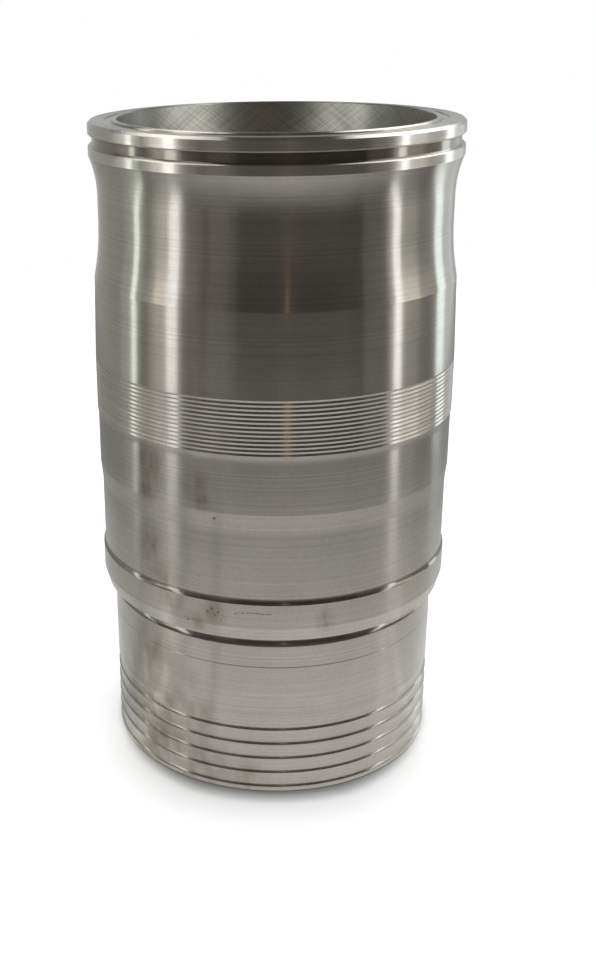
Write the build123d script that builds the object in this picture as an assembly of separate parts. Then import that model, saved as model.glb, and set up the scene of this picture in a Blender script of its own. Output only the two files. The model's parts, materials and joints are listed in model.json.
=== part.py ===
from build123d import *
import os

os.makedirs("parts", exist_ok=True)

# Wet cylinder liner of a heavy-duty diesel engine, turned all over from one
# centrifugally cast iron tube. Millimetres. The bore's axis is Z, the liner
# stands on its foot at Z = 0, and its fire lip is uppermost.
#
# The outside is one long lathe profile. The sizes below follow it upwards from
# the foot. "height" is always measured along the axis, and "depth" and "rise"
# are measured on the radius.

# Bore
bore_diameter = 137.16
bore_foot_chamfer = 1.2
bore_mouth_chamfer = 0.45

# Foot and skirt, the thin lower wall that enters the block's lower bore
skirt_wall = 7.3
foot_chamfer = 0.5
foot_band_height = 1.8

# Seal grooves round the lower skirt. Each has a long lead-in cone above, a
# short flat floor and a steep flank below.
seal_groove_count = 5
seal_groove_depth = 0.7
seal_flank_height = 1.55
seal_floor_height = 1.6
seal_cone_height = 3.2
seal_ridge_height = 1.0

# Plain skirt wall between the grooves and the undercut
skirt_wall_height = 35.6

# Undercut below the shoulder that seats on the block's ledge
undercut_depth = 1.4
undercut_flank_height = 3.1
undercut_floor_height = 2.1

# Pilot land above the shoulder
land_rise = 5.1
land_height = 11.1
shoulder_chamfer_depth = 1.7
shoulder_chamfer_height = 6.1

# Water jacket relief, hollowed out into the lands at both of its ends
relief_depth = 0.85
relief_lower_flank_height = 2.6
relief_floor_height = 30.1
relief_upper_flank_height = 8.6

# Lower body and the step up to the serrated band
lower_body_height = 22.2
step_rise = 0.4
step_height = 4.0

# Serrated band: V grooves that meet at sharp crests
serration_count = 13
serration_pitch = 1.815
serration_depth = 0.35

# Upper body, which tapers in a little towards the neck
upper_body_height = 35.8
upper_body_taper = 1.0

# Neck, with a hollow flare below and a deep cove above
neck_depth = 3.15
neck_height = 12.0
flare_height = 23.7
cove_height = 16.9

# Collar and flange, parted by a square notch
collar_rise = 0.1
collar_height = 4.1
collar_chamfer = 0.4
notch_depth = 1.7
notch_height = 4.5
notch_root_chamfer = 0.7
flange_rim_height = 3.9
flange_lower_chamfer = 0.6
flange_upper_chamfer = 1.1

# Fire lip round the mouth of the bore, with a shallow channel outside it
fire_lip_width = 2.3
fire_lip_rise = 0.7
fire_lip_edge = 0.5
channel_width = 3.1
channel_depth = 0.35

# Radii that follow from those sizes
bore_radius = bore_diameter / 2
skirt_radius = bore_radius + skirt_wall
body_radius = skirt_radius + land_rise
crest_radius = body_radius + step_rise
neck_radius = body_radius - neck_depth
collar_radius = body_radius + collar_rise
lip_radius = bore_radius + fire_lip_width

# Heights of the main stations above the foot
seal_groove_height = seal_flank_height + seal_floor_height + seal_cone_height
seal_pitch = seal_groove_height + seal_ridge_height
seal_start = foot_chamfer + foot_band_height
skirt_start = seal_start + seal_groove_count * seal_pitch - seal_ridge_height
undercut_start = skirt_start + skirt_wall_height
shoulder_level = undercut_start + undercut_flank_height + undercut_floor_height
land_start = shoulder_level + shoulder_chamfer_height
relief_start = land_start + land_height
relief_floor_start = relief_start + relief_lower_flank_height
relief_floor_end = relief_floor_start + relief_floor_height
body_start = relief_floor_end + relief_upper_flank_height
step_start = body_start + lower_body_height
serration_start = step_start + step_height
serration_end = serration_start + serration_count * serration_pitch
flare_start = serration_end + upper_body_height
neck_start = flare_start + flare_height
cove_start = neck_start + neck_height
collar_start = cove_start + cove_height
notch_start = collar_start + collar_height
notch_end = notch_start + notch_height
rim_start = notch_end + flange_lower_chamfer
rim_end = rim_start + flange_rim_height
flange_top = rim_end + flange_upper_chamfer
lip_top = flange_top + fire_lip_rise

UP = (0, 1)
DOWN = (0, -1)


def turn(*points):
    """Straight cuts through points of (radius, height)."""
    return Polyline(*points)


def hollow(wall, edge, direction):
    """Hollow cut that leaves a straight wall smoothly and ends at a sharp edge."""
    return TangentArc(wall, edge, tangent=direction)


def foot():
    """Ground face with its outer chamfer, up to the lowest seal groove."""
    return turn(
        (bore_radius + bore_foot_chamfer, 0),
        (skirt_radius - foot_chamfer, 0),
        (skirt_radius, foot_chamfer),
        (skirt_radius, seal_start),
    )


def seal_grooves():
    """Equal grooves with a ridge between each pair of neighbours."""
    floor_radius = skirt_radius - seal_groove_depth
    points = [(skirt_radius, seal_start)]
    for index in range(seal_groove_count):
        floor_start = seal_start + index * seal_pitch + seal_flank_height
        floor_end = floor_start + seal_floor_height
        cone_end = floor_end + seal_cone_height
        points.append((floor_radius, floor_start))
        points.append((floor_radius, floor_end))
        points.append((skirt_radius, cone_end))
        if index < seal_groove_count - 1:
            points.append((skirt_radius, cone_end + seal_ridge_height))
    return turn(*points)


def skirt():
    """Plain wall, the undercut above it, and the shoulder with its pilot land."""
    floor_radius = skirt_radius - undercut_depth
    floor_start = undercut_start + undercut_flank_height
    return [
        turn((skirt_radius, skirt_start), (skirt_radius, undercut_start)),
        hollow((floor_radius, floor_start), (skirt_radius, undercut_start), DOWN),
        turn(
            (floor_radius, floor_start),
            (floor_radius, shoulder_level),
            (body_radius - shoulder_chamfer_depth, shoulder_level),
            (body_radius, land_start),
            (body_radius, relief_start),
        ),
    ]


def relief():
    """Water jacket relief between the land and the lower body, then the step above them."""
    floor_radius = body_radius - relief_depth
    return [
        hollow((floor_radius, relief_floor_start), (body_radius, relief_start), DOWN),
        turn((floor_radius, relief_floor_start), (floor_radius, relief_floor_end)),
        hollow((floor_radius, relief_floor_end), (body_radius, body_start), UP),
        turn((body_radius, body_start), (body_radius, step_start), (crest_radius, serration_start)),
    ]


def serrations():
    """V grooves, each between two crests."""
    root_radius = crest_radius - serration_depth
    points = [(crest_radius, serration_start)]
    for index in range(serration_count):
        groove_start = serration_start + index * serration_pitch
        points.append((root_radius, groove_start + serration_pitch / 2))
        points.append((crest_radius, groove_start + serration_pitch))
    return turn(*points)


def neck():
    """Tapered upper body, flare, neck and the cove that runs out into the collar."""
    flare_edge_radius = crest_radius - upper_body_taper
    return [
        turn((crest_radius, serration_end), (flare_edge_radius, flare_start)),
        hollow((neck_radius, neck_start), (flare_edge_radius, flare_start), DOWN),
        turn((neck_radius, neck_start), (neck_radius, cove_start)),
        hollow((neck_radius, cove_start), (collar_radius, collar_start), UP),
    ]


def collar_and_flange():
    """Collar, square notch and flange, up to the flange's face."""
    notch_radius = collar_radius - notch_depth
    return turn(
        (collar_radius, collar_start),
        (collar_radius, notch_start - collar_chamfer),
        (collar_radius - collar_chamfer, notch_start),
        (notch_radius + notch_root_chamfer, notch_start),
        (notch_radius, notch_start + notch_root_chamfer),
        (notch_radius, notch_end),
        (collar_radius - flange_lower_chamfer, notch_end),
        (collar_radius, rim_start),
        (collar_radius, rim_end),
        (collar_radius - flange_upper_chamfer, flange_top),
    )


def crown_and_bore():
    """Flange face, channel and fire lip, then straight down the bore to the foot."""
    channel_level = flange_top - channel_depth
    channel_radius = lip_radius + channel_width
    return turn(
        (collar_radius - flange_upper_chamfer, flange_top),
        (channel_radius, flange_top),
        (channel_radius, channel_level),
        (lip_radius, channel_level),
        (lip_radius, lip_top - fire_lip_edge),
        (lip_radius - fire_lip_edge, lip_top),
        (bore_radius + bore_mouth_chamfer, lip_top),
        (bore_radius, lip_top - bore_mouth_chamfer),
        (bore_radius, bore_foot_chamfer),
        (bore_radius + bore_foot_chamfer, 0),
    )


profile = Curve() + [foot(), seal_grooves(), *skirt(), *relief(), serrations(), *neck()]
profile += [collar_and_flange(), crown_and_bore()]
section = Plane.XZ * make_face(profile.edges())
cylinder_liner = revolve(section, axis=Axis.Z)

export_step(cylinder_liner, "parts/cylinder_liner.step")

print(f"length {lip_top:.2f}, flange diameter {2 * collar_radius:.2f}")
print(f"shoulder level {shoulder_level:.2f}, skirt radius {skirt_radius:.2f}")
print(f"skirt wall {skirt_start:.2f} to {undercut_start:.2f}, flange top {flange_top:.2f}")
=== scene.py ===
import json
import math

import bpy
from mathutils import Matrix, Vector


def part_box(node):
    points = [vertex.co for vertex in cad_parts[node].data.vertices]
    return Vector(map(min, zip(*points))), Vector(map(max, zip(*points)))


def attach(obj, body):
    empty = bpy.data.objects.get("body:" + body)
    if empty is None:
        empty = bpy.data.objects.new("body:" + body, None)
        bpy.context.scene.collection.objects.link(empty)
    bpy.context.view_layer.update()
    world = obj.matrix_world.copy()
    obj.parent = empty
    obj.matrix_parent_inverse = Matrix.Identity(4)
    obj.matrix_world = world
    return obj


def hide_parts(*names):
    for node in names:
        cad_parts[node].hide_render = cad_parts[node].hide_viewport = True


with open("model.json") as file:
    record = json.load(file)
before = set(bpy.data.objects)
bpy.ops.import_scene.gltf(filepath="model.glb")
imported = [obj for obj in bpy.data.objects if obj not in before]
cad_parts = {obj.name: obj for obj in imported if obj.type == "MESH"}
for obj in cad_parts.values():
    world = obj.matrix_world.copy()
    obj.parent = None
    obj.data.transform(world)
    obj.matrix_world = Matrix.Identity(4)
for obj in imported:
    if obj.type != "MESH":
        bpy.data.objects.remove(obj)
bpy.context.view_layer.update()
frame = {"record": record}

# ---------------------------------------------------------------------------
# The liner: one tube of centrifugally cast grey iron. The outside is turned on
# a lathe, the seats are ground and the bore is honed. It is a single piece, so
# its whole outline is one line, spun about the axis of the bore.
# ---------------------------------------------------------------------------
MM = 0.001

# Driving sizes that the frame gives. The liner's sizes are in millimetres, with
# radii from the axis of the bore and levels above the foot.
mounts = {mount["name"]: mount for mount in frame["record"]["mounts"]}
bore_radius = mounts["bore"]["dims"]["r_mm"]
skirt_radius = mounts["skirt"]["dims"]["r_mm"]
body_radius = mounts["pilot_land"]["dims"]["r_mm"]
shoulder_level = mounts["seat_shoulder"]["pos_m"][2] / MM
flange_face_level = mounts["gasket_face"]["pos_m"][2] / MM
lip_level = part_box("cylinder_liner")[1].z / MM

ARC_STEP = math.radians(4)


def hollow(wall, edge):
    """Places on an arc that leaves an upright wall smoothly and ends at a sharp edge."""
    depth = edge[0] - wall[0]
    height = edge[1] - wall[1]
    arc_radius = (depth**2 + height**2) / (2 * depth)
    sweep = math.asin(abs(height) / arc_radius)
    count = max(2, math.ceil(sweep / ARC_STEP))
    places = []
    for index in range(count + 1):
        angle = sweep * index / count
        radius = wall[0] + arc_radius * (1 - math.cos(angle))
        places.append((radius, wall[1] + math.copysign(arc_radius * math.sin(angle), height)))
    return places


# Foot, with a chamfer outside and one in the bore
FOOT_CHAMFER = 0.5
BORE_FOOT_CHAMFER = 1.2
outline = [
    (bore_radius + BORE_FOOT_CHAMFER, 0),
    (skirt_radius - FOOT_CHAMFER, 0),
    (skirt_radius, FOOT_CHAMFER),
]

# Five seal grooves, each with a hollow lower side, a flat floor and a long slope above
SEAL_COUNT = 5
SEAL_PITCH = 7.35
SEAL_DEPTH = 0.7
FIRST_SEAL = 2.3
SEAL_HOLLOW = 1.55
SEAL_FLOOR_END = 3.15
SEAL_SLOPE_END = 6.35
seal_radius = skirt_radius - SEAL_DEPTH
for index in range(SEAL_COUNT):
    ridge = FIRST_SEAL + index * SEAL_PITCH
    outline += reversed(hollow((seal_radius, ridge + SEAL_HOLLOW), (skirt_radius, ridge)))
    outline += [(seal_radius, ridge + SEAL_FLOOR_END), (skirt_radius, ridge + SEAL_SLOPE_END)]

# Plain skirt, with a band that stands slightly proud
BAND_RISE = 0.1
BAND_BELOW_SHOULDER = 27.4
BAND_HEIGHT = 12.4
BAND_LEAD_IN = 2.4
BAND_LEAD_OUT = 0.5
band_radius = skirt_radius + BAND_RISE
band_start = shoulder_level - BAND_BELOW_SHOULDER
band_end = band_start + BAND_HEIGHT
outline += [
    (skirt_radius, band_start),
    (band_radius, band_start + BAND_LEAD_IN),
    (band_radius, band_end - BAND_LEAD_OUT),
    (skirt_radius, band_end),
]

# Undercut, the shoulder over it, and the pilot land with its lead-in chamfer
UNDERCUT_DEPTH = 1.4
UNDERCUT_HEIGHT = 5.2
UNDERCUT_HOLLOW = 3.1
SHOULDER_CHAMFER_DEPTH = 1.7
SHOULDER_CHAMFER_HEIGHT = 6.1
LAND_HEIGHT = 11.1
undercut_radius = skirt_radius - UNDERCUT_DEPTH
undercut_start = shoulder_level - UNDERCUT_HEIGHT
undercut_floor = undercut_start + UNDERCUT_HOLLOW
land_start = shoulder_level + SHOULDER_CHAMFER_HEIGHT
outline += reversed(hollow((undercut_radius, undercut_floor), (skirt_radius, undercut_start)))
outline += [
    (undercut_radius, shoulder_level),
    (body_radius - SHOULDER_CHAMFER_DEPTH, shoulder_level),
    (body_radius, land_start),
]

# Water jacket relief: hollow at its lower end, and at its upper end a cone that the
# tool eased into, given by how far each place is below the end and off the floor
RELIEF_DEPTH = 0.85
RELIEF_HEIGHT = 41.3
RELIEF_HOLLOW = 2.6
RELIEF_CONE = ((9.8, 0.0), (8.6, 0.04), (7.3, 0.10))
relief_radius = body_radius - RELIEF_DEPTH
relief_start = land_start + LAND_HEIGHT
relief_floor = relief_start + RELIEF_HOLLOW
relief_end = relief_start + RELIEF_HEIGHT
outline += reversed(hollow((relief_radius, relief_floor), (body_radius, relief_start)))
outline += [(relief_radius + rise, relief_end - below) for below, rise in RELIEF_CONE]
outline.append((body_radius, relief_end))

# Lower body, the step up from it, and the serrated band: V grooves that meet at crests
LOWER_BODY_HEIGHT = 22.2
STEP_HEIGHT = 4.0
CREST_RISE = 0.4
SERRATION_COUNT = 13
SERRATION_PITCH = 1.815
SERRATION_DEPTH = 0.35
crest_radius = body_radius + CREST_RISE
step_start = relief_end + LOWER_BODY_HEIGHT
serration_start = step_start + STEP_HEIGHT
outline += hollow((body_radius, step_start), (crest_radius, serration_start))
for index in range(SERRATION_COUNT):
    groove = serration_start + index * SERRATION_PITCH
    outline.append((crest_radius - SERRATION_DEPTH, groove + 0.5 * SERRATION_PITCH))
    outline.append((crest_radius, groove + SERRATION_PITCH))

# Upper body, which tapers in a little, then the flare, the neck and the long cove
UPPER_BODY_HEIGHT = 35.8
UPPER_BODY_TAPER = 1.0
FLARE_HEIGHT = 23.7
NECK_DEPTH = 3.15
NECK_HEIGHT = 12.0
COVE_HEIGHT = 16.9
COLLAR_RISE = 0.1
taper_radius = crest_radius - UPPER_BODY_TAPER
neck_radius = body_radius - NECK_DEPTH
collar_radius = body_radius + COLLAR_RISE
flare_start = serration_start + SERRATION_COUNT * SERRATION_PITCH + UPPER_BODY_HEIGHT
neck_start = flare_start + FLARE_HEIGHT
cove_start = neck_start + NECK_HEIGHT
collar_start = cove_start + COVE_HEIGHT
outline.append((taper_radius, flare_start))
outline += reversed(hollow((neck_radius, neck_start), (taper_radius, flare_start)))
outline += hollow((neck_radius, cove_start), (collar_radius, collar_start))

# Collar, square notch and flange
COLLAR_HEIGHT = 4.1
COLLAR_CHAMFER = 0.4
NOTCH_DEPTH = 1.7
NOTCH_HEIGHT = 4.5
NOTCH_ROOT_CHAMFER = 0.7
FLANGE_LOWER_CHAMFER = 0.6
FLANGE_RIM_HEIGHT = 3.9
FLANGE_UPPER_CHAMFER = 1.1
notch_radius = collar_radius - NOTCH_DEPTH
notch_start = collar_start + COLLAR_HEIGHT
notch_end = notch_start + NOTCH_HEIGHT
rim_start = notch_end + FLANGE_LOWER_CHAMFER
outline += [
    (collar_radius, notch_start - COLLAR_CHAMFER),
    (collar_radius - COLLAR_CHAMFER, notch_start),
    (notch_radius + NOTCH_ROOT_CHAMFER, notch_start),
    (notch_radius, notch_start + NOTCH_ROOT_CHAMFER),
    (notch_radius, notch_end),
    (collar_radius - FLANGE_LOWER_CHAMFER, notch_end),
    (collar_radius, rim_start),
    (collar_radius, rim_start + FLANGE_RIM_HEIGHT),
    (collar_radius - FLANGE_UPPER_CHAMFER, flange_face_level),
]

# Flange face with a shallow channel, the fire lip, and down the bore to the foot
LIP_WIDTH = 2.3
LIP_CHAMFER = 0.5
CHANNEL_WIDTH = 3.1
CHANNEL_DEPTH = 0.35
BORE_MOUTH_CHAMFER = 0.45
lip_radius = bore_radius + LIP_WIDTH
channel_level = flange_face_level - CHANNEL_DEPTH
outline += [
    (lip_radius + CHANNEL_WIDTH, flange_face_level),
    (lip_radius + CHANNEL_WIDTH, channel_level),
    (lip_radius, channel_level),
    (lip_radius, lip_level - LIP_CHAMFER),
    (lip_radius - LIP_CHAMFER, lip_level),
    (bore_radius + BORE_MOUTH_CHAMFER, lip_level),
    (bore_radius, lip_level - BORE_MOUTH_CHAMFER),
    (bore_radius, BORE_FOOT_CHAMFER),
    (bore_radius + BORE_FOOT_CHAMFER, 0),
]

SAME_PLACE = 1e-6
SPIN_STEPS = 256
SHARP_EDGE = math.radians(5)


def spin_line(name, places, steps, sweep):
    """Draws a line through (radius, height) places, and spins it clockwise as seen from above."""
    bpy.ops.object.select_all(action="DESELECT")
    bpy.ops.mesh.primitive_plane_add(size=MM)
    bpy.ops.object.mode_set(mode="EDIT")
    bpy.ops.mesh.select_all(action="SELECT")
    bpy.ops.mesh.merge(type="CENTER")
    bpy.ops.transform.translate(value=(places[0][0] * MM, 0, places[0][1] * MM))
    for (radius, height), (next_radius, next_height) in zip(places, places[1:]):
        step = ((next_radius - radius) * MM, 0, (next_height - height) * MM)
        bpy.ops.mesh.extrude_vertices_move(TRANSFORM_OT_translate={"value": step})
    bpy.ops.mesh.select_all(action="SELECT")
    bpy.ops.mesh.remove_doubles(threshold=SAME_PLACE)
    bpy.ops.mesh.spin(steps=steps, angle=sweep, center=(0, 0, 0), axis=(0, 0, 1))
    bpy.ops.mesh.select_all(action="SELECT")
    bpy.ops.mesh.remove_doubles(threshold=SAME_PLACE)
    bpy.ops.mesh.normals_make_consistent(inside=False)
    bpy.ops.object.mode_set(mode="OBJECT")
    bpy.context.object.name = name
    return bpy.context.object


liner = spin_line("turned_liner", outline, SPIN_STEPS, math.tau)
bpy.ops.object.shade_smooth_by_angle(angle=SHARP_EDGE)
bpy.ops.object.modifier_add(type="WEIGHTED_NORMAL")
liner.modifiers[-1].keep_sharp = True
bpy.ops.object.modifier_apply(modifier=liner.modifiers[-1].name)
bpy.ops.object.transform_apply(location=True, rotation=True, scale=True)


def linear(hex_colour):
    """An sRGB hex colour as linear RGBA."""
    channels = [int(hex_colour[i : i + 2], 16) / 255 for i in (1, 3, 5)]
    return [c / 12.92 if c <= 0.04045 else ((c + 0.055) / 1.055) ** 2.4 for c in channels] + [1]


def add_node(tree, kind, inputs=(), **settings):
    """Adds a node with its settings and its inputs' values or links, and returns its outputs."""
    node = tree.nodes.new("ShaderNode" + kind)
    for name, value in settings.items():
        setattr(node, name, value)
    for socket, value in inputs.items() if isinstance(inputs, dict) else enumerate(inputs):
        if isinstance(value, bpy.types.NodeSocket):
            tree.links.new(value, node.inputs[socket])
        else:
            node.inputs[socket].default_value = value
    return node.outputs


def blank_tree(owner):
    """The emptied node tree of a material or world."""
    owner.use_nodes = True
    owner.node_tree.nodes.clear()
    return owner.node_tree


def places_on_iron(tree):
    """The place on the liner, its height, and a run that grows with height and with radius."""
    place = add_node(tree, "TexCoord")["Object"]
    split = add_node(tree, "SeparateXYZ", (place,))
    level = add_node(tree, "CombineXYZ", (split["X"], split["Y"]))[0]
    radius = add_node(tree, "VectorMath", (level,), operation="LENGTH")["Value"]
    along = add_node(tree, "Math", (split["Z"], radius), operation="ADD")[0]
    return place, split["Z"], along


# A turn of 0.25 smears a reflection along the axis of the bore
ALONG_AXIS = 0.25


def bare_iron(tree, colour, roughness, bump, smear=ALONG_AXIS):
    """Bare iron whose fine scratches smear its reflections one way."""
    tangent = add_node(tree, "Tangent", direction_type="RADIAL", axis="Z")[0]
    return add_node(tree, "BsdfPrincipled", {
        "Base Color": colour, "Metallic": 1.0, "Roughness": roughness, "Anisotropic": 0.95,
        "Anisotropic Rotation": smear, "Tangent": tangent, "Normal": bump})[0]


def marks(tree, place, spots):
    """1 in the middle of each (azimuth, height, reach) spot on the outside and 0 past its reach."""
    strongest = 0.0
    for azimuth, height, reach in spots:
        turn = math.radians(azimuth)
        middle = (body_radius * math.sin(turn) * MM, -body_radius * math.cos(turn) * MM, height * MM)
        away = add_node(tree, "VectorMath", (place, middle), operation="DISTANCE")["Value"]
        near = add_node(tree, "MapRange", (away, 0.0, reach * MM, 1.0, 0.0))[0]
        strongest = add_node(tree, "Math", (near, strongest), operation="MAXIMUM")[0]
    return strongest


# Where the outside is marked: azimuth from the front in degrees, height and reach in
# millimetres. Oil has stained the left of the body, the land and the foot.
STAINS = (
    (-40, 152, 13), (-41, 141, 9), (-23, 149, 9), (-22, 142, 7), (-40, 115, 13), (-37, 104, 12), (-33, 92, 9),
    (-18, 91, 8), (-24, 84, 8), (16.5, 90, 6), (16.5, 86, 5), (-52, 22, 24), (-38, 14, 24), (-24, 9, 20),
    (-8, 6, 14), (-48, 34, 34), (-46, 16, 30), (-46, 60, 20), (-28, 34, 16), (-28, 50, 11),
)
PITS = (
    (-17.5, 134.5, 1.1), (-13.5, 118.5, 0.9), (-4.5, 101.5, 0.9), (-23, 106.5, 1.1), (-23.5, 103.5, 0.9),
    (-26.5, 101.5, 0.8), (-22, 102, 0.7), (-18.5, 92.5, 0.8), (-16.5, 91, 0.7), (-20, 90.8, 0.7),
    (-17.5, 89.6, 0.6), (-11, 91.5, 0.6), (-15.5, 87.5, 0.6), (-26.5, 85, 0.7), (49, 71.5, 1.0),
)

# A thin scratch on the land, which sways to both sides and breaks off in places
SCRATCH = (-5.5, 92.2, 8)
SCRATCH_WAVE = 10.68
SCRATCH_SWAY = 0.25
SCRATCH_REACH = 0.3
SCRATCH_DARKNESS = 0.8


def scratch(tree, place, height, ragged):
    """1 on a thin, broken scratch that wanders round the land."""
    near = marks(tree, place, (SCRATCH,))
    line = add_node(tree, "MapRange", (near, 0.0, 0.1, 0.0, 1.0))[0]
    across = add_node(tree, "SeparateXYZ", (place,))["X"]
    wave = add_node(tree, "Math", (across, math.tau / (SCRATCH_WAVE * MM)), operation="MULTIPLY")[0]
    sway = add_node(tree, "Math", (wave,), operation="SINE")[0]
    path = add_node(tree, "Math", (sway, SCRATCH_SWAY * MM, SCRATCH[1] * MM), operation="MULTIPLY_ADD")[0]
    on_path = add_node(tree, "Math", (height, path, SCRATCH_REACH * MM), operation="COMPARE")[0]
    broken = add_node(tree, "MapRange", (ragged, 0.38, 0.6, 0.0, SCRATCH_DARKNESS))[0]
    for part in (on_path, broken):
        line = add_node(tree, "Math", (line, part), operation="MULTIPLY")[0]
    return line


# The lathe's rings are really about 0.2 mm apart, too fine to show, so they are
# drawn wider. Sizes of the grain are in millimetres, and the shares say how far
# each pattern lightens and darkens the iron.
RING_SPACING = 0.9
RING_SHARE = 0.08
RING_BUMP = 0.010
BAND_SPACING = 8.0
BAND_SHARE = 0.025
CLOUD_SIZE = 26
CLOUD_SHARE = 0.05
GRAIN_SIZE = 1.6
GRAIN_SHARE = 0.04
BLOTCH_SIZE = 6
BLOTCH_SQUASH = 0.45
STAIN_DEPTH = (0.124, 0.93)
PIT_GRAIN = 0.9
PIT_DEPTH = (0.3, 2.0)

# Nearly all of a noise lies between these two values
NOISE = (0.3, 0.7)


def turned_iron(name, hex_colour, fine_roughness, deep_roughness, deep_share):
    """Turned cast iron: satin along the axis, with fine rings, brown stains and small dark pits."""
    material = bpy.data.materials.new(name)
    tree = blank_tree(material)
    place, height, along = places_on_iron(tree)
    rings = add_node(tree, "TexNoise", {
        "W": along, "Scale": 1 / (RING_SPACING * MM), "Detail": 2.0}, noise_dimensions="1D")["Fac"]
    bands = add_node(tree, "TexNoise", {
        "W": along, "Scale": 1 / (BAND_SPACING * MM), "Detail": 3.0}, noise_dimensions="1D")["Fac"]
    clouds = add_node(tree, "TexNoise", {
        "Vector": place, "Scale": 1 / (CLOUD_SIZE * MM), "Detail": 4.0})["Fac"]
    grain = add_node(tree, "TexNoise", {
        "Vector": place, "Scale": 1 / (GRAIN_SIZE * MM), "Detail": 3.0})["Fac"]
    light = 1.0
    shares = ((rings, RING_SHARE), (bands, BAND_SHARE), (clouds, CLOUD_SHARE), (grain, GRAIN_SHARE))
    for pattern, share in shares:
        part = add_node(tree, "MapRange", (pattern, *NOISE, 1 - share, 1 + share))[0]
        light = add_node(tree, "Math", (light, part), operation="MULTIPLY")[0]
    colour = add_node(tree, "VectorMath", {
        0: linear(hex_colour)[:3], "Scale": light}, operation="SCALE")[0]

    # Stains are blotches drawn out upwards
    upright = add_node(tree, "VectorMath", (place, (1, 1, BLOTCH_SQUASH)), operation="MULTIPLY")[0]
    blotches = add_node(tree, "TexNoise", {
        "Vector": upright, "Scale": 1 / (BLOTCH_SIZE * MM), "Detail": 3.0})["Fac"]
    blotches = add_node(tree, "MapRange", (blotches, *NOISE, *STAIN_DEPTH))[0]
    stained = add_node(tree, "Math", (marks(tree, place, STAINS), blotches), operation="MULTIPLY")[0]
    colour = add_node(tree, "Mix", {
        "Factor": stained, "A": colour, "B": linear("#6b6450")}, data_type="RGBA")[2]

    # Pits have ragged edges, and the scratch is as dark as they are
    ragged = add_node(tree, "TexNoise", {
        "Vector": place, "Scale": 1 / (PIT_GRAIN * MM), "Detail": 1.0})["Fac"]
    edges = add_node(tree, "MapRange", (ragged, *NOISE, *PIT_DEPTH))[0]
    pitted = add_node(tree, "Math", (marks(tree, place, PITS), edges), operation="MULTIPLY")[0]
    scratched = scratch(tree, place, height, ragged)
    dark = add_node(tree, "Math", (pitted, scratched), operation="MAXIMUM")[0]
    colour = add_node(tree, "Mix", {
        "Factor": dark, "A": colour, "B": linear("#524e46")}, data_type="RGBA")[2]

    bump = add_node(tree, "Bump", {"Height": rings, "Distance": RING_BUMP * MM})[0]
    fine = bare_iron(tree, colour, fine_roughness, bump)
    deep = bare_iron(tree, colour, deep_roughness, bump)
    iron = add_node(tree, "MixShader", (deep_share, fine, deep))[0]
    add_node(tree, "OutputMaterial", {"Surface": iron})
    return material


# The hone's scratches climb the wall both ways. They are drawn about 1 mm wide,
# far wider than the real ones. What they smear runs nearly along the axis.
HATCH_CLIMB = math.radians(35)
HATCH_WIDTH = 1.1
HATCH_LENGTH = 16.0
HATCH_BUMP = 0.02
HATCH_LIGHT = (0.66, 1.4)
HATCH_SMEAR = math.radians(6)
HONED_ROUGHNESS = 0.46


def honed_iron():
    """Honed bore: satin iron crossed by two sets of slanting scratches."""
    material = bpy.data.materials.new("honed_cast_iron")
    tree = blank_tree(material)
    place, height = places_on_iron(tree)[:2]
    sets = []
    for slant in (1, -1):
        climb = slant / (math.tan(HATCH_CLIMB) * bore_radius * MM)
        twist = add_node(tree, "Math", (height, climb), operation="MULTIPLY")[0]
        twisted = add_node(tree, "VectorRotate", {
            "Vector": place, "Angle": twist}, rotation_type="Z_AXIS")[0]
        drawn_out = (1, 1, HATCH_WIDTH / HATCH_LENGTH)
        drawn = add_node(tree, "VectorMath", (twisted, drawn_out), operation="MULTIPLY")[0]
        lines = add_node(tree, "TexNoise", {
            "Vector": drawn, "Scale": 1 / (HATCH_WIDTH * MM), "Detail": 2.0})["Fac"]
        light = add_node(tree, "MapRange", (lines, *NOISE, *HATCH_LIGHT))[0]
        colour = add_node(tree, "VectorMath", {
            0: linear("#a8a7a0")[:3], "Scale": light}, operation="SCALE")[0]
        bump = add_node(tree, "Bump", {"Height": lines, "Distance": HATCH_BUMP * MM})[0]
        smear = ALONG_AXIS + slant * HATCH_SMEAR / math.tau
        sets.append(bare_iron(tree, colour, HONED_ROUGHNESS, bump, smear))
    iron = add_node(tree, "MixShader", (0.5, *sets))[0]
    add_node(tree, "OutputMaterial", {"Surface": iron})
    return material


# Four finishes: the turned outside, the brighter ground rim, the honed bore, and
# the recesses, whose darker colour is painted shade
liner.data.materials.append(turned_iron("turned_cast_iron", "#a29e96", 0.19, 0.34, 0.33))
liner.data.materials.append(turned_iron("ground_rim", "#b4b0a9", 0.20, 0.36, 0.5))
liner.data.materials.append(honed_iron())
liner.data.materials.append(turned_iron("oiled_recess", "#857f76", 0.16, 0.30, 0.3))
OUTSIDE, RIM, BORE, RECESS = range(4)

# Undercut, the relief's lower end and the notch, which get the painted shade: level of each end, and the
# radius they stay inside
RECESSES = (
    (undercut_start, shoulder_level, skirt_radius),
    (relief_start, relief_floor, body_radius),
    (notch_start, notch_end + 0.1, collar_radius - 0.9),
)
SLACK = 0.02
for face in liner.data.polygons:
    radius = math.hypot(face.center.x, face.center.y) / MM
    level = face.center.z / MM
    if radius < bore_radius + SLACK:
        face.material_index = BORE
    elif any(low < level < high - SLACK and radius < edge - SLACK for low, high, edge in RECESSES):
        face.material_index = RECESS
    elif level > collar_start:
        face.material_index = RIM
    else:
        face.material_index = OUTSIDE
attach(liner, "root")
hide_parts("cylinder_liner")

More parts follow.
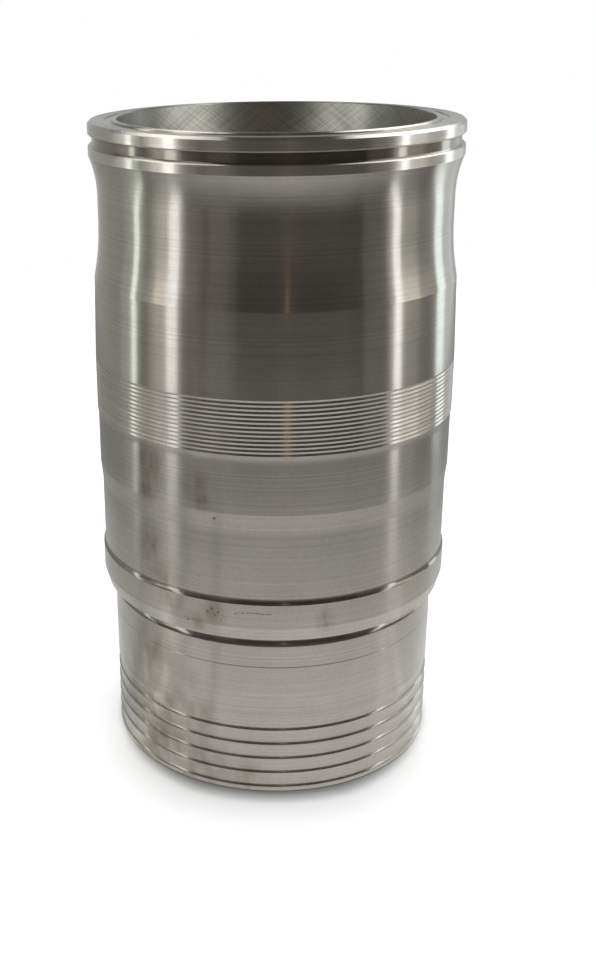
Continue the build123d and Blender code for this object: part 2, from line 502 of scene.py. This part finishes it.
# ---------------------------------------------------------------------------
# Floor: a matt white board under the liner, in metres. To the camera it is white,
# with a soft shade beside the foot, and in the metal it fades with distance.
# ---------------------------------------------------------------------------
BOARD_WIDTH = 1.04
BOARD_DEPTH = 1.6
BOARD_FRONT = -0.62
bpy.ops.object.select_all(action="DESELECT")
bpy.ops.mesh.primitive_plane_add(size=1, location=(0, BOARD_FRONT + BOARD_DEPTH / 2, 0))
floor = bpy.context.object
floor.name = "floor"
floor.scale = (BOARD_WIDTH, BOARD_DEPTH, 1)
bpy.ops.object.transform_apply(location=True, rotation=True, scale=True)
board = bpy.data.materials.new("matt_white_board")
tree = blank_tree(board)
rays = add_node(tree, "LightPath")
spot = add_node(tree, "TexCoord")["Object"]
split = add_node(tree, "SeparateXYZ", (spot,))
forwards = add_node(tree, "Math", (split["Y"], -1.0), operation="MULTIPLY")[0]
around = add_node(tree, "Math", (split["X"], forwards), operation="ARCTAN2")[0]

# What the metal mirrors: light that fades from a spot before the foot, with dimmer and
# brighter sectors, given by azimuth and half width in degrees and their share of the light
BRIGHT_SPOT = (0.0, -0.08, 0)
BRIGHTEST = 0.86
FADE = (0.12, 0.50)
BOARD_SECTORS = (
    (-100, 50, 0.80), (-88, 11, 0.60), (-64, 6, 1.3), (-54, 7, 0.62), (-32, 5, 0.74), (80, 5, 1.25),
)
away = add_node(tree, "VectorMath", (spot, BRIGHT_SPOT), operation="DISTANCE")["Value"]
mirrored = add_node(tree, "MapRange", (away, *FADE, BRIGHTEST, 0.0))[0]
for azimuth, half_width, share in BOARD_SECTORS:
    turned = add_node(tree, "Math", (around, math.radians(azimuth)), operation="SUBTRACT")[0]
    aside = add_node(tree, "Math", (turned,), operation="ABSOLUTE")[0]
    part = add_node(tree, "MapRange", (aside, 0.0, math.radians(half_width), share, 1.0))[0]
    mirrored = add_node(tree, "Math", (mirrored, part), operation="MULTIPLY")[0]

# The shade beside the foot is wider and deeper in front than at the sides
SHADE_TURN = (math.radians(25), math.radians(70))
SHADE_REACH = (0.045, 0.020)
SHADE_POWER = (1.6, 0.4)
GAP_REACH = (0.012, 0.003)
GAP_POWER = (2.4, 0.4)
aside = add_node(tree, "Math", (around,), operation="ABSOLUTE")[0]
sideways = add_node(tree, "MapRange", (aside, *SHADE_TURN, 0.0, 1.0))[0]
openness = []
for reach, power in ((SHADE_REACH, SHADE_POWER), (GAP_REACH, GAP_POWER)):
    distance = add_node(tree, "MapRange", (sideways, 0.0, 1.0, *reach))[0]
    clear = add_node(tree, "AmbientOcclusion", {"Distance": distance})["AO"]
    exponent = add_node(tree, "MapRange", (sideways, 0.0, 1.0, *power))[0]
    openness.append(add_node(tree, "Math", (clear, exponent), operation="POWER")[0])
unshaded, out_of_gap = openness

# Paper white to the camera, the mirrored light to the metal, and a nearly black painted shadow in the gap
PAPER_GLOW = 0.6
PAPER_GREY = 0.9
MIRRORED_GREY = 0.42
paper = add_node(tree, "Math", (rays["Is Camera Ray"], unshaded), operation="MULTIPLY")[0]
paper = add_node(tree, "Math", (paper, PAPER_GLOW), operation="MULTIPLY")[0]
glow = add_node(tree, "Math", (rays["Is Glossy Ray"], mirrored, paper), operation="MULTIPLY_ADD")[0]
lift = add_node(tree, "Emission", {"Color": (1, 1, 1, 1), "Strength": glow})[0]
grey = add_node(tree, "MapRange", (rays["Is Glossy Ray"], 0.0, 1.0, PAPER_GREY, MIRRORED_GREY))[0]
matt = add_node(tree, "BsdfDiffuse", {"Color": grey})[0]
both = add_node(tree, "AddShader", (matt, lift))[0]
gap = add_node(tree, "BsdfDiffuse", {"Color": linear("#3c3a37")})[0]
daylight = add_node(tree, "Math", (rays["Is Glossy Ray"], out_of_gap), operation="MAXIMUM")[0]
shaded = add_node(tree, "MixShader", (daylight, gap, both))[0]
add_node(tree, "OutputMaterial", {"Surface": shaded})
floor.data.materials.append(board)

# ---------------------------------------------------------------------------
# Studio: a white room, and round the liner the strip lights, soft boxes and dim
# screens that its metal mirrors, in metres. Only reflections see them.
# ---------------------------------------------------------------------------
ROOM_LIGHT = 0.55
world = bpy.data.worlds.new("studio")
bpy.context.scene.world = world
tree = blank_tree(world)
rays = add_node(tree, "LightPath")
direct = add_node(tree, "Math", (rays["Is Camera Ray"], rays["Is Glossy Ray"]), operation="MAXIMUM")[0]
clear = add_node(tree, "Math", (direct, rays["Is Transmission Ray"]), operation="MAXIMUM")[0]
dim = add_node(tree, "Background", {"Color": (1, 1, 1, 1), "Strength": ROOM_LIGHT})[0]
white = add_node(tree, "Background", {"Color": (1, 1, 1, 1), "Strength": 1.0})[0]
room = add_node(tree, "MixShader", (clear, dim, white))[0]
add_node(tree, "OutputWorld", {"Surface": room})

EYE_HEIGHT = 0.23
CARD_STEP = 6


def hide_from_all_but_reflections(obj):
    """Stage that lights nothing and casts no shadow, and that only shiny metal sees."""
    obj.visible_camera = False
    obj.visible_diffuse = False
    obj.visible_shadow = False


def light_card(name, distance, azimuths, elevations, hex_colour, strength):
    """A curved, glowing card that faces the liner, spun back from its last azimuth to its first."""
    radius = distance / MM
    line = [(radius, EYE_HEIGHT / MM + radius * math.tan(math.radians(angle))) for angle in elevations]
    sweep = azimuths[1] - azimuths[0]
    glowing_card = spin_line(name, line, math.ceil(sweep / CARD_STEP), math.radians(sweep))
    glowing_card.rotation_euler.z = math.radians(azimuths[1] - 90)
    bpy.ops.object.transform_apply(location=True, rotation=True, scale=True)
    material = bpy.data.materials.new(name)
    tree = blank_tree(material)
    glow = add_node(tree, "Emission", {"Color": linear(hex_colour), "Strength": strength})[0]
    add_node(tree, "OutputMaterial", {"Surface": glow})
    glowing_card.data.materials.append(material)
    hide_from_all_but_reflections(glowing_card)


# Name, azimuths and elevations in degrees, colour and strength. Azimuth 0 faces the camera.
SCREEN_DISTANCE = 1.6
CARDS = (
    ("left_far_strip", (-97.5, -92.5), (-28, 15), "#eefaf3", 3.3),
    ("left_far_lamp", (-98, -93), (15, 30), "#eefaf3", 2.2),
    ("left_near_strip", (-68, -60), (-28, 15), "#f5f9fb", 2.9),
    ("left_near_lamp", (-67, -61), (15, 30), "#f5f9fb", 3.2),
    ("right_near_strip", (77, 83), (-28, 15), "#f7fafe", 3.4),
    ("right_near_lamp", (77, 83), (15, 30), "#f7fafe", 3.2),
    ("right_far_strip", (118, 129), (-28, 15), "#effaff", 2.6),
    ("right_far_lamp", (120, 127), (15, 30), "#effaff", 1.8),
    ("left_box", (-77, -68), (-28, 0), "#f4f2ea", 0.85),
    ("left_box_near_top", (-78, -68), (0, 11), "#f4f2ea", 3.0),
    ("left_box_side", (-82, -77), (-28, 6), "#f4f2ea", 0.60),
    ("left_gap", (-93, -82), (-28, 6), "#eef2ea", 0.30),
    ("left_box_top", (-93, -77), (6, 11), "#f4f2ea", 2.4),
    ("left_edge", (-108, -98), (-28, 18), "#f6f6f2", 0.75),
    ("back_left", (-150, -108), (-28, 30), "#f6f6f2", 0.55),
    ("front_left_edge", (-60, -57), (-28, 18), "#fff6f0", 0.6),
    ("front_left", (-57, -45), (-28, 18), "#fff6f0", 0.22),
    ("front_left_maroon", (-45, -40), (-28, 18), "#f6dcd8", 0.16),
    ("front_left_pale", (-40, -27), (-28, 18), "#fff6f0", 0.23),
    ("front_left_inner", (-27, -22), (-28, 18), "#fff6f0", 0.15),
    ("front", (-22, 55), (-28, 18), "#fffaf0", 0.06),
    ("front_glow", (7, 11), (2, 30), "#ffc890", 1.2),
    ("front_right", (55, 66), (-28, 18), "#fffaf0", 0.2),
    ("front_right_edge", (66, 73), (-28, 18), "#fffaf0", 0.17),
    ("right_near_edge", (73, 77), (-28, 18), "#fffaf0", 0.60),
    ("right_box", (83, 98), (-28, 0), "#fffef6", 0.38),
    ("right_box_side", (98, 112), (-28, 0), "#fffef6", 0.20),
    ("right_box_near_top", (83, 98), (0, 6), "#fffef6", 3.0),
    ("right_box_far_top", (98, 112), (0, 6), "#fffef6", 1.2),
    ("right_gap", (112, 118), (-28, 6), "#fffef6", 0.28),
    ("right_box_top", (83, 118), (6, 13), "#fffef6", 2.4),
    ("back_right", (129, 150), (-28, 30), "#f6f8fa", 1.05),
    ("back", (150, 210), (-28, 30), "#f6f8fa", 0.6),
)
for name, azimuths, elevations, hex_colour, strength in CARDS:
    light_card(name, SCREEN_DISTANCE, azimuths, elevations, hex_colour, strength)

# Small lights just above the mouth, which reach down the bore
MOUTH_DISTANCE = 0.16
light_card("mouth_left", MOUTH_DISTANCE, (-60, -45), (27, 68), "#f7f8f4", 4.8)
light_card("mouth_far_left", MOUTH_DISTANCE, (-88, -76), (27, 68), "#f7f8f4", 6.5)
light_card("mouth_right", MOUTH_DISTANCE, (62, 115), (30, 68), "#f7f8f4", 4.2)

# The dim walls and ceiling behind the screens
ROOM_DISTANCE = 1.9
CEILING_HEIGHT = 4.5
CEILING_RADIUS = 6
light_card("room_wall", ROOM_DISTANCE, (-180, 180), (-40, 70), "#fffaf4", 0.12)
bpy.ops.object.select_all(action="DESELECT")
bpy.ops.mesh.primitive_circle_add(
    vertices=32, radius=CEILING_RADIUS, fill_type="NGON", location=(0, 0, CEILING_HEIGHT))
ceiling = bpy.context.object
ceiling.name = "ceiling"
ceiling.data.materials.append(bpy.data.materials["room_wall"])
hide_from_all_but_reflections(ceiling)

# ---------------------------------------------------------------------------
# Lamp: one large soft light overhead, which gives the floor its soft shadow.
# The metal mirrors the studio's own lights instead.
# ---------------------------------------------------------------------------
lamp_data = bpy.data.lights.new("overhead", "AREA")
lamp_data.size = 1.6
lamp_data.energy = 7
lamp = bpy.data.objects.new("overhead", lamp_data)
bpy.context.scene.collection.objects.link(lamp)
lamp.location = (0.3, 0.1, 1.6)
lamp.rotation_euler = (-lamp.location).to_track_quat("-Z", "Y").to_euler()
lamp.visible_glossy = False

# ---------------------------------------------------------------------------
# Camera: above the rim, looking down at the near side of the liner, which
# stands a little to the left of the middle of the frame.
# ---------------------------------------------------------------------------
FRAME_HEIGHT_PIXELS = 960
SHIFT_PIXELS = 98
CAMERA_PLACE = (0, -0.57957, 0.34352)
CAMERA_TURN = 3.41879
CAMERA_DROP = 20.85811
CAMERA_ROLL = -0.7612
camera_data = bpy.data.cameras.new("camera")
camera_data.sensor_width = 36
camera_data.lens = 48.807
camera_data.shift_x = SHIFT_PIXELS / FRAME_HEIGHT_PIXELS
camera = bpy.data.objects.new("camera", camera_data)
bpy.context.scene.collection.objects.link(camera)
turn = Matrix.Rotation(math.radians(CAMERA_TURN), 4, "Z")
tilt = Matrix.Rotation(math.radians(90 - CAMERA_DROP), 4, "X")
roll = Matrix.Rotation(math.radians(CAMERA_ROLL), 4, "Z")
camera.matrix_world = Matrix.Translation(CAMERA_PLACE) @ turn @ tilt @ roll
bpy.context.scene.camera = camera
bpy.context.scene.view_settings.view_transform = "Standard"
